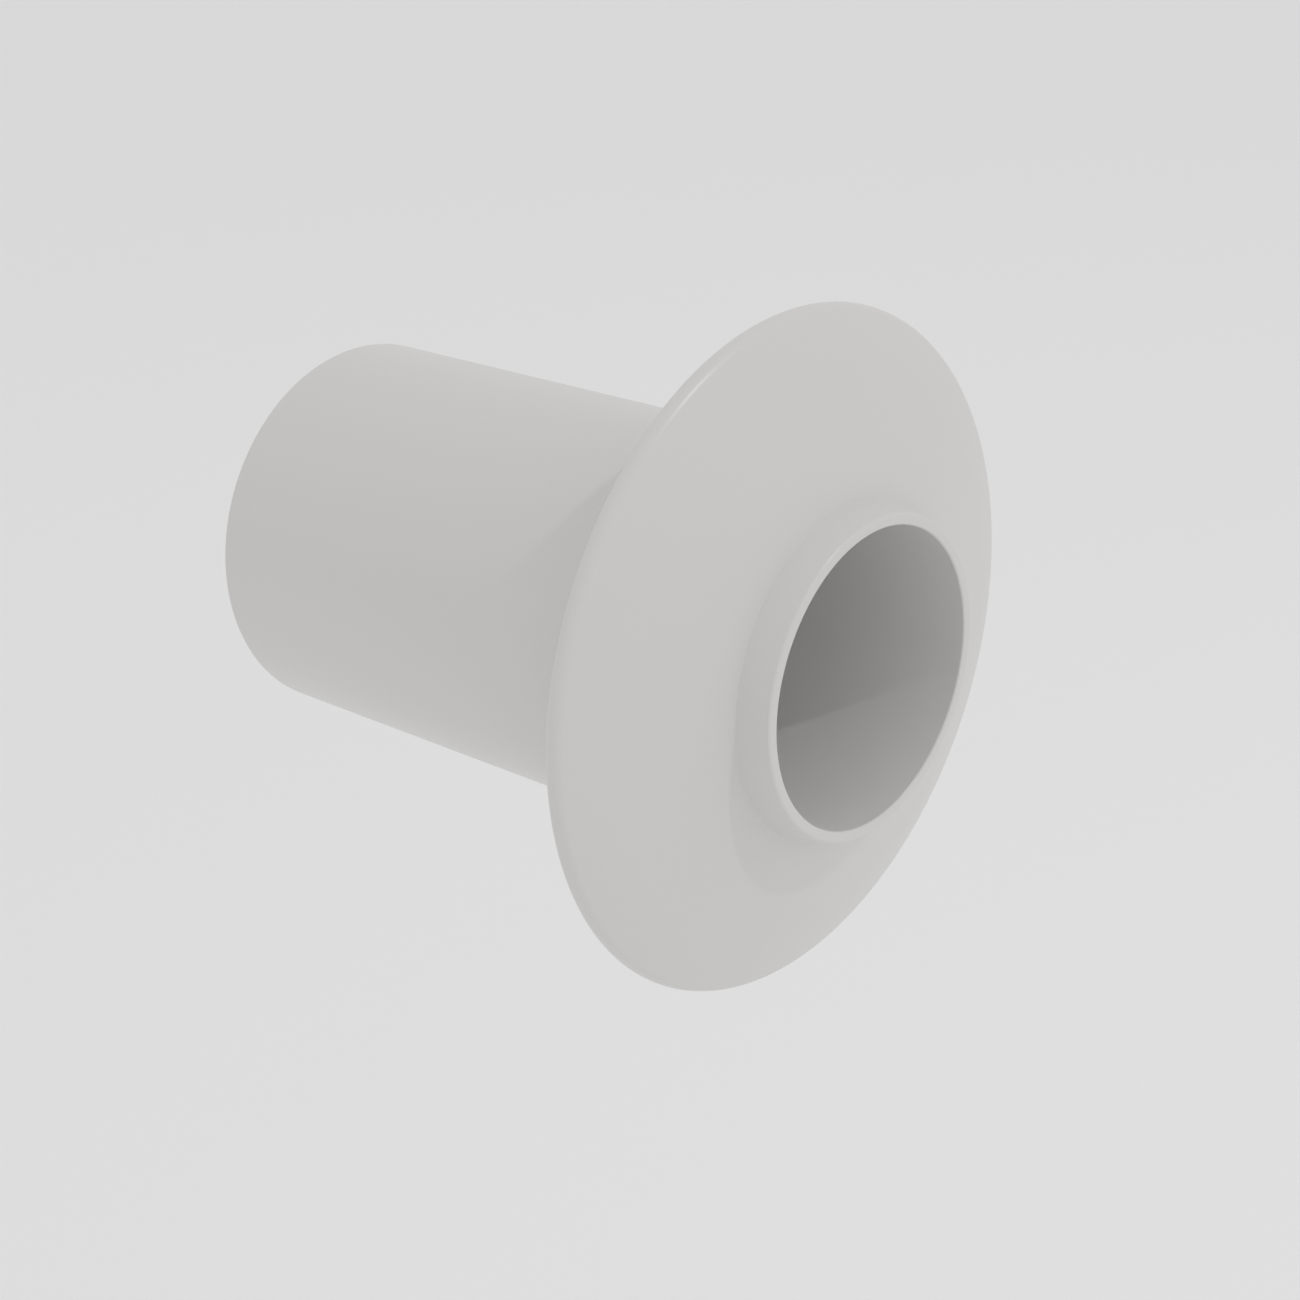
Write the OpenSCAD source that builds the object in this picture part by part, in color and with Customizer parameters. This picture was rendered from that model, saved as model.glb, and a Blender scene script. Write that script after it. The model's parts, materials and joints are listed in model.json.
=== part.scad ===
// Wall collar for the end of a round duct, moulded in one piece.
// A low domed flange covers the edge of the hole in the wall, a sleeve behind it lines the hole,
// and a thin duct runs through from the short neck in front to the rear end of the sleeve.
// The Y axis is the duct's own axis. The wall's face is the plane y = 0, and the front is -Y.

/* [Duct] */
// Diameter of the clear opening, the same from end to end
bore_d = 46.5; // [40:0.5:50]
// Thickness of the duct's wall
duct_wall = 1.75; // [1.2:0.05:2]

/* [Neck] */
// Height of the neck above the foot where it meets the dome
neck_h = 5.2; // [3:0.1:20]
// How much further out the neck's side stands at its foot than at its tip
neck_flare = 1.3; // [0:0.1:3]
// Rounding of the outer edge of the neck's tip
neck_edge_r = 0.5; // [0.2:0.05:0.6]
// Rounding of the inner edge of the neck's tip, at the mouth of the duct
mouth_edge_r = 0.35; // [0.2:0.05:0.55]

/* [Flange] */
// Outer diameter of the flange
flange_d = 106.5; // [100:0.5:140]
// Height of the dome above the wall, at the foot of the neck
dome_h = 11.8; // [8:0.1:20]
// Height at which the straight slope of the dome would reach the flange's edge if nothing were rounded
edge_h = 3.15; // [3.1:0.05:5]
// Width of the band inside the flange's edge over which the slope curves down
shoulder_w = 9.5; // [6:0.5:12]
// Rounding of the flange's edge at the front
front_edge_r = 1.9; // [1:0.1:2.2]
// Rounding of the flange's edge at the wall
back_edge_r = 1.1; // [0.5:0.1:1.3]
// Thickness of the domed shell
shell_wall = 1.8; // [1.4:0.1:2.2]
// Width of the flange's foot, from the edge to the hollow behind the dome
foot_w = 2.4; // [2:0.1:4]

/* [Sleeve] */
// Outer diameter of the sleeve that lines the hole in the wall
sleeve_d = 63; // [60:0.5:70]
// Thickness of the sleeve's wall
sleeve_wall = 1.75; // [1.2:0.05:2.1]
// How far the sleeve and the duct reach behind the wall's face
sleeve_l = 92; // [30:1:300]
// Rounding of the corner where the sleeve grows out of the dome
root_r = 1.2; // [0.5:0.1:2]

/* [Hidden] */
$fn = 180;

// Cuts run past the faces that they open by this much
past = 1;
// A straight side ends this far inside the arc that carries it on, so that the two areas overlap
sunk = 0.002;

// Radii, measured from the duct's axis
bore_r = bore_d / 2;
duct_r = bore_r + duct_wall;
neck_foot_r = duct_r + neck_flare;
flange_r = flange_d / 2;
hollow_r = flange_r - foot_w;
sleeve_r = sleeve_d / 2;
sleeve_in_r = sleeve_r - sleeve_wall;

// Heights in front of the wall's face
neck_tip_h = dome_h + neck_h;

// The neck's side leans in by this angle
lean = atan2(neck_flare, neck_h);
// Centre of the rounding of the neck's outer edge, which touches the tip and the leaning side
neck_edge_c = [
    duct_r + neck_edge_r * (tan(lean) - 1 / cos(lean)),
    neck_tip_h - neck_edge_r
];

// Angle between the dome's straight slope and the wall
slope = atan2(dome_h - edge_h, flange_r - neck_foot_r);
// Unit vector that stands square on the slope
slope_out = [sin(slope), cos(slope)];

// The slope ends here and the shoulder's large arc begins
shoulder = [flange_r - shoulder_w, slope_h(flange_r - shoulder_w, 0)];
// Centre of the front rounding of the edge, level with the centre of the back rounding
edge_c = [flange_r - front_edge_r, back_edge_r];
// Radius of the one arc that leaves the slope smoothly and runs smoothly into the front rounding
to_shoulder = shoulder - edge_c;
crown_r = (to_shoulder * to_shoulder - pow(front_edge_r, 2)) / (2 * (to_shoulder * slope_out - front_edge_r));
crown_c = shoulder - crown_r * slope_out;
// The large arc ends here and the front rounding begins
crown_end = edge_c + front_edge_r * (edge_c - crown_c) / norm(edge_c - crown_c);

// Centre of the rounding between the sleeve and the inside of the dome
root_c = [sleeve_r + root_r, slope_h(sleeve_r + root_r, shell_wall + root_r)];

// Height of the dome's slope at radius r, or of a line that lies depth below its surface
function slope_h(r, depth) = dome_h - (r - neck_foot_r) * tan(slope) - depth / cos(slope);

// Area between the radii r_in and r_out, above the height low, that lies depth below the dome's surface
module under_dome(depth, r_in, r_out, low) {
    slope_end = shoulder - (depth + sunk) * slope_out;
    polygon([
        [r_in, low],
        [slope_end[0], low],
        slope_end,
        [r_in, slope_h(r_in, depth)]
    ]);
    intersection() {
        translate(crown_c)
            circle(crown_r - depth);
        translate([r_in, low])
            square([r_out - r_in, dome_h - low]);
    }
}

// Rounded edge of the flange and the flat side that lies on the wall, in section
module flange_foot_section() {
    intersection() {
        translate(edge_c)
            circle(front_edge_r);
        translate([shoulder[0], back_edge_r])
            square([shoulder_w + past, front_edge_r + past]);
    }
    intersection() {
        translate([flange_r - back_edge_r, back_edge_r])
            circle(back_edge_r);
        translate([shoulder[0], 0])
            square([shoulder_w + past, back_edge_r]);
    }
    translate([bore_r, 0])
        square([flange_r - back_edge_r - bore_r, back_edge_r + sunk]);
}

// Neck in front of the dome, in section, with both edges of its tip rounded
module neck_section() {
    side_end = neck_edge_c + (neck_edge_r - sunk) * [cos(lean), sin(lean)];
    // The leaning side runs on down to the middle of the shell, so that the neck stands in the dome
    stand_h = dome_h - shell_wall / 2;
    polygon([
        [bore_r, stand_h],
        [neck_foot_r + (dome_h - stand_h) * tan(lean), stand_h],
        side_end,
        [neck_edge_c[0], neck_tip_h],
        [bore_r + mouth_edge_r, neck_tip_h],
        [bore_r, neck_tip_h - mouth_edge_r]
    ]);
    translate(neck_edge_c)
        circle(neck_edge_r);
    translate([bore_r + mouth_edge_r, neck_tip_h - mouth_edge_r])
        circle(mouth_edge_r);
}

// Corner between the sleeve and the inside of the dome that its rounding leaves solid, in section
module root_section() {
    slope_touch = root_c + root_r * slope_out;
    difference() {
        polygon([
            root_c,
            [sleeve_r - past, root_c[1]],
            [sleeve_r - past, dome_h],
            [slope_touch[0], dome_h],
            slope_touch
        ]);
        translate(root_c)
            circle(root_r);
    }
}

// Hollow behind the dome, between the sleeve and the flange's foot, in section
module hollow_section() {
    difference() {
        under_dome(shell_wall, sleeve_r, hollow_r, -past);
        root_section();
    }
}

// Slot between the duct and the sleeve, open at the rear, in section
module slot_section() {
    polygon([
        [duct_r, -sleeve_l - past],
        [sleeve_in_r, -sleeve_l - past],
        [sleeve_in_r, slope_h(sleeve_in_r, shell_wall)],
        [duct_r, slope_h(duct_r, shell_wall)]
    ]);
}

// Half section of the whole collar: X is the radius and Y the height in front of the wall
module collar_section() {
    difference() {
        union() {
            under_dome(0, bore_r, crown_end[0], back_edge_r);
            flange_foot_section();
            neck_section();
            translate([bore_r, -sleeve_l])
                square([sleeve_r - bore_r, sleeve_l + edge_h]);
        }
        hollow_section();
        slot_section();
    }
}

module collar() {
    color("gainsboro")
        rotate([90, 0, 0])
            rotate_extrude()
                collar_section();
}

collar();
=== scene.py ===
# %% [markdown]
# # A moulded collar for the end of a duct
# The collar is one piece of smooth, pale grey plastic. A low domed flange hides the edge of a hole in a wall,
# a short neck stands in front of it, and a long sleeve goes into the wall behind it.
# Everything is round about one line, the duct's axis, which is the Y axis here. The wall's face is y = 0.
# The engineering model sets the sizes. This lesson dresses it: a finely turned mesh, a moulded finish, and light.

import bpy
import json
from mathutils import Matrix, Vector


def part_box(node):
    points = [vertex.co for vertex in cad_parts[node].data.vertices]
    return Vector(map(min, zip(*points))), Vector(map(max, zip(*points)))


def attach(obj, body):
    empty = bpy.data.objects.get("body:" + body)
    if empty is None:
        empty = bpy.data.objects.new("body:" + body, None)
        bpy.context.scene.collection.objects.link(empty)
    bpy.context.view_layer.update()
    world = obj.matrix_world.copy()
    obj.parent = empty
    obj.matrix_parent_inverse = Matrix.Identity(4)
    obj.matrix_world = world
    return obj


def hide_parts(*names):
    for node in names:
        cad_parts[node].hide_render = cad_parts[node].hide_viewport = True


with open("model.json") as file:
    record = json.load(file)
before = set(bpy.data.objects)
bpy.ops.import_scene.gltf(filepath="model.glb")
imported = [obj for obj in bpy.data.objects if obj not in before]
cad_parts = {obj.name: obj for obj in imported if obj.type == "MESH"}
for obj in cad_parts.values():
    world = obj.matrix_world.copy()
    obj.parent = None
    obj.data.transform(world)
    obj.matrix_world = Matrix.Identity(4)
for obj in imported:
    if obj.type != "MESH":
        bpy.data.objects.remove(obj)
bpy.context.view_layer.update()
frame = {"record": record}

# %% [markdown]
# ## Sizes
# What the frame can tell is read from it: the bore and the sleeve are mounts with their own radii, and the box
# gives the flange's radius and both ends. The rest are the moulding's own sizes, in metres.
# A part that is drawn from a few named sizes can be corrected in one place.

# %% Read the main sizes from the frame
import math

import bmesh
import bpy
from mathutils import Vector

mounts = {m["name"]: m for m in frame["record"]["mounts"]}
low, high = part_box("collar")

bore_r = mounts["duct_bore"]["dims"]["r_mm"] / 1000
sleeve_r = mounts["wall_sleeve"]["dims"]["r_mm"] / 1000
flange_r = round(high.x, 5)
tip_y = low.y
rear_y = high.y
print(f"bore {bore_r * 1000:.2f} mm, sleeve {sleeve_r * 1000:.2f} mm, flange {flange_r * 1000:.2f} mm in radius")

# %% Name the moulding's own sizes
wall = 0.00175
shell_wall = 0.0018
foot_w = 0.0024
neck_flare = 0.0013
dome_h = 0.0118
edge_h = 0.00315
shoulder_w = 0.0095
front_edge_r = 0.0019
back_edge_r = 0.0011
root_r = 0.0012
neck_edge_r = 0.0005
mouth_edge_r = 0.00035

duct_r = bore_r + wall
sleeve_in_r = sleeve_r - wall
neck_foot_r = duct_r + neck_flare
hollow_r = flange_r - foot_w

# %% [markdown]
# ## The dome's curve
# Seen in section, the dome is a straight slope, then one large arc, then a small rounded edge, and each runs
# smoothly into the next. A designer would draw it with tangent arcs, so this does too.
# The large arc has to touch the slope at the shoulder and the small edge rounding as well, and only one does both.

# %% Work out the large arc
# Heights count towards the front, where y is negative
slope = math.atan2(dome_h - edge_h, flange_r - neck_foot_r)
slope_out = Vector((math.sin(slope), -math.cos(slope), 0))


def slope_point(r, depth=0.0):
    """Point at radius r on the dome's slope, or on a line that lies depth below it."""
    height = dome_h - (r - neck_foot_r) * math.tan(slope) - depth / math.cos(slope)
    return Vector((r, -height, 0))


shoulder = slope_point(flange_r - shoulder_w)
edge_centre = Vector((flange_r - front_edge_r, -back_edge_r, 0))
reach = shoulder - edge_centre
crown_r = (reach.dot(reach) - front_edge_r**2) / (2 * (reach.dot(slope_out) - front_edge_r))
crown_centre = shoulder - crown_r * slope_out
crown_end_out = (edge_centre - crown_centre).normalized()
print(f"the dome's large arc has a radius of {crown_r * 1000:.1f} mm")


# %% [markdown]
# ## Corners and roundings
# The half section is a closed outline. Each of its corners is a point and a rounding radius, as on a drawing.
# Where two stretches are joined by an arc, the corner is the point where their straight lines would meet.

# %% Find where two lines meet
def meet(point_a, direction_a, point_b, direction_b):
    """Point where two lines in the section's plane cross."""
    across = direction_a.x * direction_b.y - direction_a.y * direction_b.x
    gap = point_b - point_a
    along = (gap.x * direction_b.y - gap.y * direction_b.x) / across
    return point_a + along * direction_a


def square_to(direction):
    """Direction turned by a quarter turn in the section's plane."""
    return Vector((-direction.y, direction.x, 0))


# %% Place the dome's corners, outside and inside
slope_run = square_to(slope_out)
axis_run = Vector((0, 1, 0))

crown_end = edge_centre + front_edge_r * crown_end_out
crown_corner = meet(shoulder, slope_run, crown_end, square_to(crown_end_out))
edge_corner = meet(crown_end, square_to(crown_end_out), Vector((flange_r, 0, 0)), axis_run)

inner_crown_r = crown_r - shell_wall
inner_rise = math.sqrt(inner_crown_r**2 - (hollow_r - crown_centre.x) ** 2)
inner_end = Vector((hollow_r, crown_centre.y - inner_rise, 0))
inner_end_out = (inner_end - crown_centre).normalized()
inner_slope = slope_point(shoulder.x, shell_wall)
inner_corner = meet(inner_slope, slope_run, inner_end, square_to(inner_end_out))

# %% List the section's corners
# Cut ends and foot edges keep the tiny rounding that a real mould leaves
mould_edge_r = 0.00012
inner_fillet_r = 0.0004

section = [
    (Vector((bore_r, rear_y, 0)), mould_edge_r),
    (Vector((duct_r, rear_y, 0)), mould_edge_r),
    (slope_point(duct_r, shell_wall), inner_fillet_r),
    (slope_point(sleeve_in_r, shell_wall), inner_fillet_r),
    (Vector((sleeve_in_r, rear_y, 0)), mould_edge_r),
    (Vector((sleeve_r, rear_y, 0)), mould_edge_r),
    (slope_point(sleeve_r, shell_wall), root_r),
    (inner_corner, inner_crown_r),
    (inner_end, mould_edge_r),
    (Vector((hollow_r, 0, 0)), mould_edge_r),
    (Vector((flange_r, 0, 0)), back_edge_r),
    (edge_corner, front_edge_r),
    (crown_corner, crown_r),
    (Vector((neck_foot_r, -dome_h, 0)), mould_edge_r),
    (Vector((duct_r, tip_y, 0)), neck_edge_r),
    (Vector((bore_r, tip_y, 0)), mouth_edge_r),
]
print(f"the section has {len(section)} corners")


# %% [markdown]
# ## Drawing the section
# The outline is drawn by a pen, one vertex. An extruded vertex leaves a straight edge behind it, and a vertex
# that is spun about a centre leaves an arc. Both are bmesh operators, and a spun arc is exact at any angle,
# which a bevelled corner is only at a right angle.

# %% Pen strokes
def straight_to(bm, pen, point):
    """Draws a straight edge from the pen's vertex and returns the new end."""
    made = bmesh.ops.extrude_vert_indiv(bm, verts=[pen])
    end = made["verts"][0]
    end.co = point
    return end


def arc_about(bm, pen, centre, turn, steps):
    """Draws an arc from the pen's vertex by turning it about a centre, and returns the new end."""
    made = bmesh.ops.spin(bm, geom=[pen], cent=centre, axis=(0, 0, 1), angle=turn, steps=steps)
    return next(item for item in made["geom_last"] if isinstance(item, bmesh.types.BMVert))


def rounding(before, corner, after, radius):
    """Where the arc that rounds a corner starts, its centre, and the angle that it turns through."""
    back = (before - corner).normalized()
    ahead = (after - corner).normalized()
    opening = back.angle(ahead)
    start = corner + back * radius / math.tan(opening / 2)
    centre = corner + (back + ahead).normalized() * radius / math.sin(opening / 2)
    side = math.copysign(1, ahead.x * back.y - ahead.y * back.x)
    return start, centre, side * (math.pi - opening)


# %% Draw the closed outline
fine_turn = math.radians(9)
large_arc_r = 0.02


def arc_steps(turn, radius):
    """Small roundings take a vertex every few degrees, and the dome's large arcs far more."""
    share = 12 if radius > large_arc_r else 1
    return max(3, math.ceil(abs(turn) / fine_turn * share))


def draw_section(corners):
    """Half section as a closed loop of edges in the plane z = 0."""
    bm = bmesh.new()
    first = pen = None
    for i, (corner, radius) in enumerate(corners):
        before = corners[i - 1][0]
        after = corners[(i + 1) % len(corners)][0]
        start, centre, turn = rounding(before, corner, after, radius)
        pen = straight_to(bm, pen, start) if pen else bm.verts.new(start)
        first = first or pen
        pen = arc_about(bm, pen, centre, turn, arc_steps(turn, radius))
    bm.edges.new((pen, first))
    return bm


collar_bm = draw_section(section)
print(f"the outline has {len(collar_bm.verts)} vertices and {len(collar_bm.edges)} edges")

# %% [markdown]
# ## Turning it
# The real collar comes out of a round mould, and the mesh is made the same way: the section is spun once about
# the duct's axis. A full spin is told to merge, so that its last copy closes onto the first.
# The shell is closed, so its faces can be recalculated to point outwards in one go.

# %% Spin the section about the axis
round_steps = 288

bmesh.ops.spin(
    collar_bm,
    geom=collar_bm.verts[:] + collar_bm.edges[:],
    cent=(0, 0, 0),
    axis=(0, 1, 0),
    angle=2 * math.pi,
    steps=round_steps,
    use_merge=True,
)
bmesh.ops.remove_doubles(collar_bm, verts=collar_bm.verts[:], dist=1e-7)
bmesh.ops.recalc_face_normals(collar_bm, faces=collar_bm.faces[:])

open_edges = sum(not e.is_manifold for e in collar_bm.edges)
print(f"{len(collar_bm.faces)} faces, {open_edges} open edges, {collar_bm.calc_volume() * 1e6:.2f} cm3")

# %% Make it an object
collar_mesh = bpy.data.meshes.new("collar_moulding")
collar_bm.to_mesh(collar_mesh)
collar_bm.free()
collar_mesh.shade_smooth()

collar = bpy.data.objects.new("collar_moulding", collar_mesh)
bpy.context.scene.collection.objects.link(collar)

# %% [markdown]
# A long flat face beside a tiny rounding would be shaded as if it were bent, because a vertex takes the average
# of the faces round it. Weighted normals let the large face win, which keeps the slope and the walls straight.

# %% Keep the straight stretches straight in the light
weights = collar.modifiers.new("even_shading", "WEIGHTED_NORMAL")
weights.mode = "FACE_AREA"
weights.weight = 100
weights.keep_sharp = False

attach(collar, "root")
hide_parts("collar")
print("the moulding stands for the engineering node, at the same place")


# %% [markdown]
# ## The moulded finish
# The plastic is smooth and half glossy. Close up, a moulded wall is never optically flat: it has a slow, shallow
# waviness that bends reflections, and a grain too fine to see that softens them.
# These effects are shader node groups, so each can be tuned from its inputs without opening it.

# %% Start a node group
def new_group(name, inputs, outputs):
    """Empty shader group with named sockets, and its input and output nodes."""
    group = bpy.data.node_groups.new(name, "ShaderNodeTree")
    for label, default in inputs.items():
        socket = group.interface.new_socket(label, in_out="INPUT", socket_type="NodeSocketFloat")
        socket.default_value = default
    for label, kind in outputs.items():
        group.interface.new_socket(label, in_out="OUTPUT", socket_type=kind)
    return group, group.nodes.new("NodeGroupInput"), group.nodes.new("NodeGroupOutput")


def size_to_scale(group, socket):
    """Noise scale for a feature size in metres."""
    over = group.nodes.new("ShaderNodeMath")
    over.operation = "DIVIDE"
    over.inputs[0].default_value = 1
    group.links.new(socket, over.inputs[1])
    return over.outputs[0]


def object_noise(group, coordinates, scale, detail):
    """Noise over the object's own coordinates, centred on zero."""
    noise = group.nodes.new("ShaderNodeTexNoise")
    noise.inputs["Detail"].default_value = detail
    group.links.new(coordinates, noise.inputs["Vector"])
    group.links.new(scale, noise.inputs["Scale"])
    centred = group.nodes.new("ShaderNodeMath")
    centred.operation = "SUBTRACT"
    centred.inputs[1].default_value = 0.5
    group.links.new(noise.outputs["Fac"], centred.inputs[0])
    return centred.outputs[0]


def times(group, a, b):
    """Product of two values."""
    node = group.nodes.new("ShaderNodeMath")
    node.operation = "MULTIPLY"
    group.links.new(a, node.inputs[0])
    group.links.new(b, node.inputs[1])
    return node.outputs[0]


def plus(group, a, b):
    """Sum of two values."""
    node = group.nodes.new("ShaderNodeMath")
    node.operation = "ADD"
    group.links.new(a, node.inputs[0])
    group.links.new(b, node.inputs[1])
    return node.outputs[0]


# %% Group for the wall's relief
def make_relief_group():
    """Height of the moulded skin in metres: slow waves from cooling, and the fine grain of the mould."""
    inputs = {"Wave size": 0.009, "Wave depth": 0.000004, "Grain size": 0.0004, "Grain depth": 0.0000006}
    group, given, result = new_group("moulded_relief", inputs, {"Height": "NodeSocketFloat"})
    place = group.nodes.new("ShaderNodeTexCoord").outputs["Object"]
    waves = object_noise(group, place, size_to_scale(group, given.outputs["Wave size"]), 1)
    grain = object_noise(group, place, size_to_scale(group, given.outputs["Grain size"]), 3)
    deep = times(group, waves, given.outputs["Wave depth"])
    fine = times(group, grain, given.outputs["Grain depth"])
    group.links.new(plus(group, deep, fine), result.inputs["Height"])
    return group


relief_group = make_relief_group()


# %% Group for tone and gloss
def make_tone_group():
    """Slow change of the resin's tone, and of its gloss where the part was handled."""
    inputs = {"Cloud size": 0.03, "Tone change": 0.02, "Haze size": 0.012, "Gloss": 0.3, "Gloss change": 0.06}
    outputs = {"Tone": "NodeSocketFloat", "Roughness": "NodeSocketFloat"}
    group, given, result = new_group("moulded_tone", inputs, outputs)
    place = group.nodes.new("ShaderNodeTexCoord").outputs["Object"]
    clouds = object_noise(group, place, size_to_scale(group, given.outputs["Cloud size"]), 2)
    haze = object_noise(group, place, size_to_scale(group, given.outputs["Haze size"]), 4)
    around_half = times(group, clouds, given.outputs["Tone change"])
    half = group.nodes.new("ShaderNodeMath")
    half.operation = "ADD"
    half.inputs[1].default_value = 0.5
    group.links.new(around_half, half.inputs[0])
    group.links.new(half.outputs[0], result.inputs["Tone"])
    rough = plus(group, given.outputs["Gloss"], times(group, haze, given.outputs["Gloss change"]))
    group.links.new(rough, result.inputs["Roughness"])
    return group


tone_group = make_tone_group()
print("groups:", relief_group.name, "and", tone_group.name)

# %% [markdown]
# The shader itself stays in the material. The base colour lies between two close greys, and the tone mask picks
# the place between them. The plastic has no clear coat: its own surface gives the reflections.

# %% Build the plastic
resin_dark = (0.66, 0.65, 0.64, 1)
resin_light = (0.74, 0.73, 0.72, 1)
plastic_ior = 1.5


def make_plastic():
    """Pale grey moulded plastic."""
    material = bpy.data.materials.new("pale_moulded_plastic")
    material.use_nodes = True
    tree = material.node_tree
    shader = tree.nodes["Principled BSDF"]
    shader.inputs["IOR"].default_value = plastic_ior

    tone = tree.nodes.new("ShaderNodeGroup")
    tone.node_tree = tone_group
    ramp = tree.nodes.new("ShaderNodeMix")
    ramp.data_type = "RGBA"
    ramp.inputs["A"].default_value = resin_dark
    ramp.inputs["B"].default_value = resin_light
    tree.links.new(tone.outputs["Tone"], ramp.inputs["Factor"])
    tree.links.new(ramp.outputs["Result"], shader.inputs["Base Color"])
    tree.links.new(tone.outputs["Roughness"], shader.inputs["Roughness"])

    relief = tree.nodes.new("ShaderNodeGroup")
    relief.node_tree = relief_group
    bump = tree.nodes.new("ShaderNodeBump")
    bump.inputs["Distance"].default_value = 1
    tree.links.new(relief.outputs["Height"], bump.inputs["Height"])
    tree.links.new(bump.outputs["Normal"], shader.inputs["Normal"])
    return material


plastic = make_plastic()
collar_mesh.materials.append(plastic)
print("material:", plastic.name)

# %% [markdown]
# ## The stage
# A plain pale floor, well below the collar, because the collar hangs in a wall in use and rests on nothing.

# %% Lay the floor
floor_drop = 0.3
floor_size = 30
floor_white = (0.95, 0.95, 0.95, 1)

floor_bm = bmesh.new()
bmesh.ops.create_grid(floor_bm, x_segments=1, y_segments=1, size=floor_size / 2)
bmesh.ops.translate(floor_bm, verts=floor_bm.verts[:], vec=(0, 0, -floor_drop))
floor_mesh = bpy.data.meshes.new("floor")
floor_bm.to_mesh(floor_mesh)
floor_bm.free()
floor = bpy.data.objects.new("floor", floor_mesh)
bpy.context.scene.collection.objects.link(floor)

paper = bpy.data.materials.new("floor_paper")
paper.use_nodes = True
paper.node_tree.nodes["Principled BSDF"].inputs["Base Color"].default_value = floor_white
paper.node_tree.nodes["Principled BSDF"].inputs["Roughness"].default_value = 0.9
floor_mesh.materials.append(paper)

# %% [markdown]
# ## The camera
# It stands to the left of the collar and a little above it, close enough for the flange to look much larger
# than the sleeve's far end. Its place and lens were found by fitting the round outlines.

# %% Place the camera
camera_place = (-0.2729, -0.2087, 0.1372)
camera_heading = math.radians(49.22)
camera_down = math.radians(21.76)
camera_lens = 67.65
camera_sensor = 36

camera_data = bpy.data.cameras.new("camera")
camera_data.lens = camera_lens
camera_data.sensor_width = camera_sensor
camera_data.clip_start = 0.01
camera_data.clip_end = 100
camera = bpy.data.objects.new("camera", camera_data)
camera.location = camera_place
camera.rotation_euler = (math.pi / 2 - camera_down, 0, -camera_heading)
bpy.context.scene.collection.objects.link(camera)
bpy.context.scene.camera = camera

# %% [markdown]
# ## The light
# One small lamp high in front gives the crisp shadow edges of the neck and the flange. Everything else is soft.

# %% Key lamp
rim_centre = Vector((0, tip_y, 0))
key_direction = Vector((0.166, -0.610, 0.775))
key_distance = 1.48
key_power = 9
key_size = 0.015

key_data = bpy.data.lights.new("key_lamp", "POINT")
key_data.energy = key_power
key_data.shadow_soft_size = key_size
key = bpy.data.objects.new("key_lamp", key_data)
key.location = rim_centre + key_distance * key_direction.normalized()
bpy.context.scene.collection.objects.link(key)

# %% Even studio light all round
studio_grey = (0.9, 0.9, 0.9, 1)
studio_strength = 0.8

world = bpy.data.worlds.new("studio")
world.use_nodes = True
world.node_tree.nodes["Background"].inputs["Color"].default_value = studio_grey
world.node_tree.nodes["Background"].inputs["Strength"].default_value = studio_strength
bpy.context.scene.world = world

# %% Show the colours as they are
bpy.context.scene.view_settings.view_transform = "Standard"
bpy.context.scene.view_settings.look = "None"

# %% [markdown]
# ## Finish
# The dressed model has to fill the engineering model's box and no more.

# %% Finish
import json
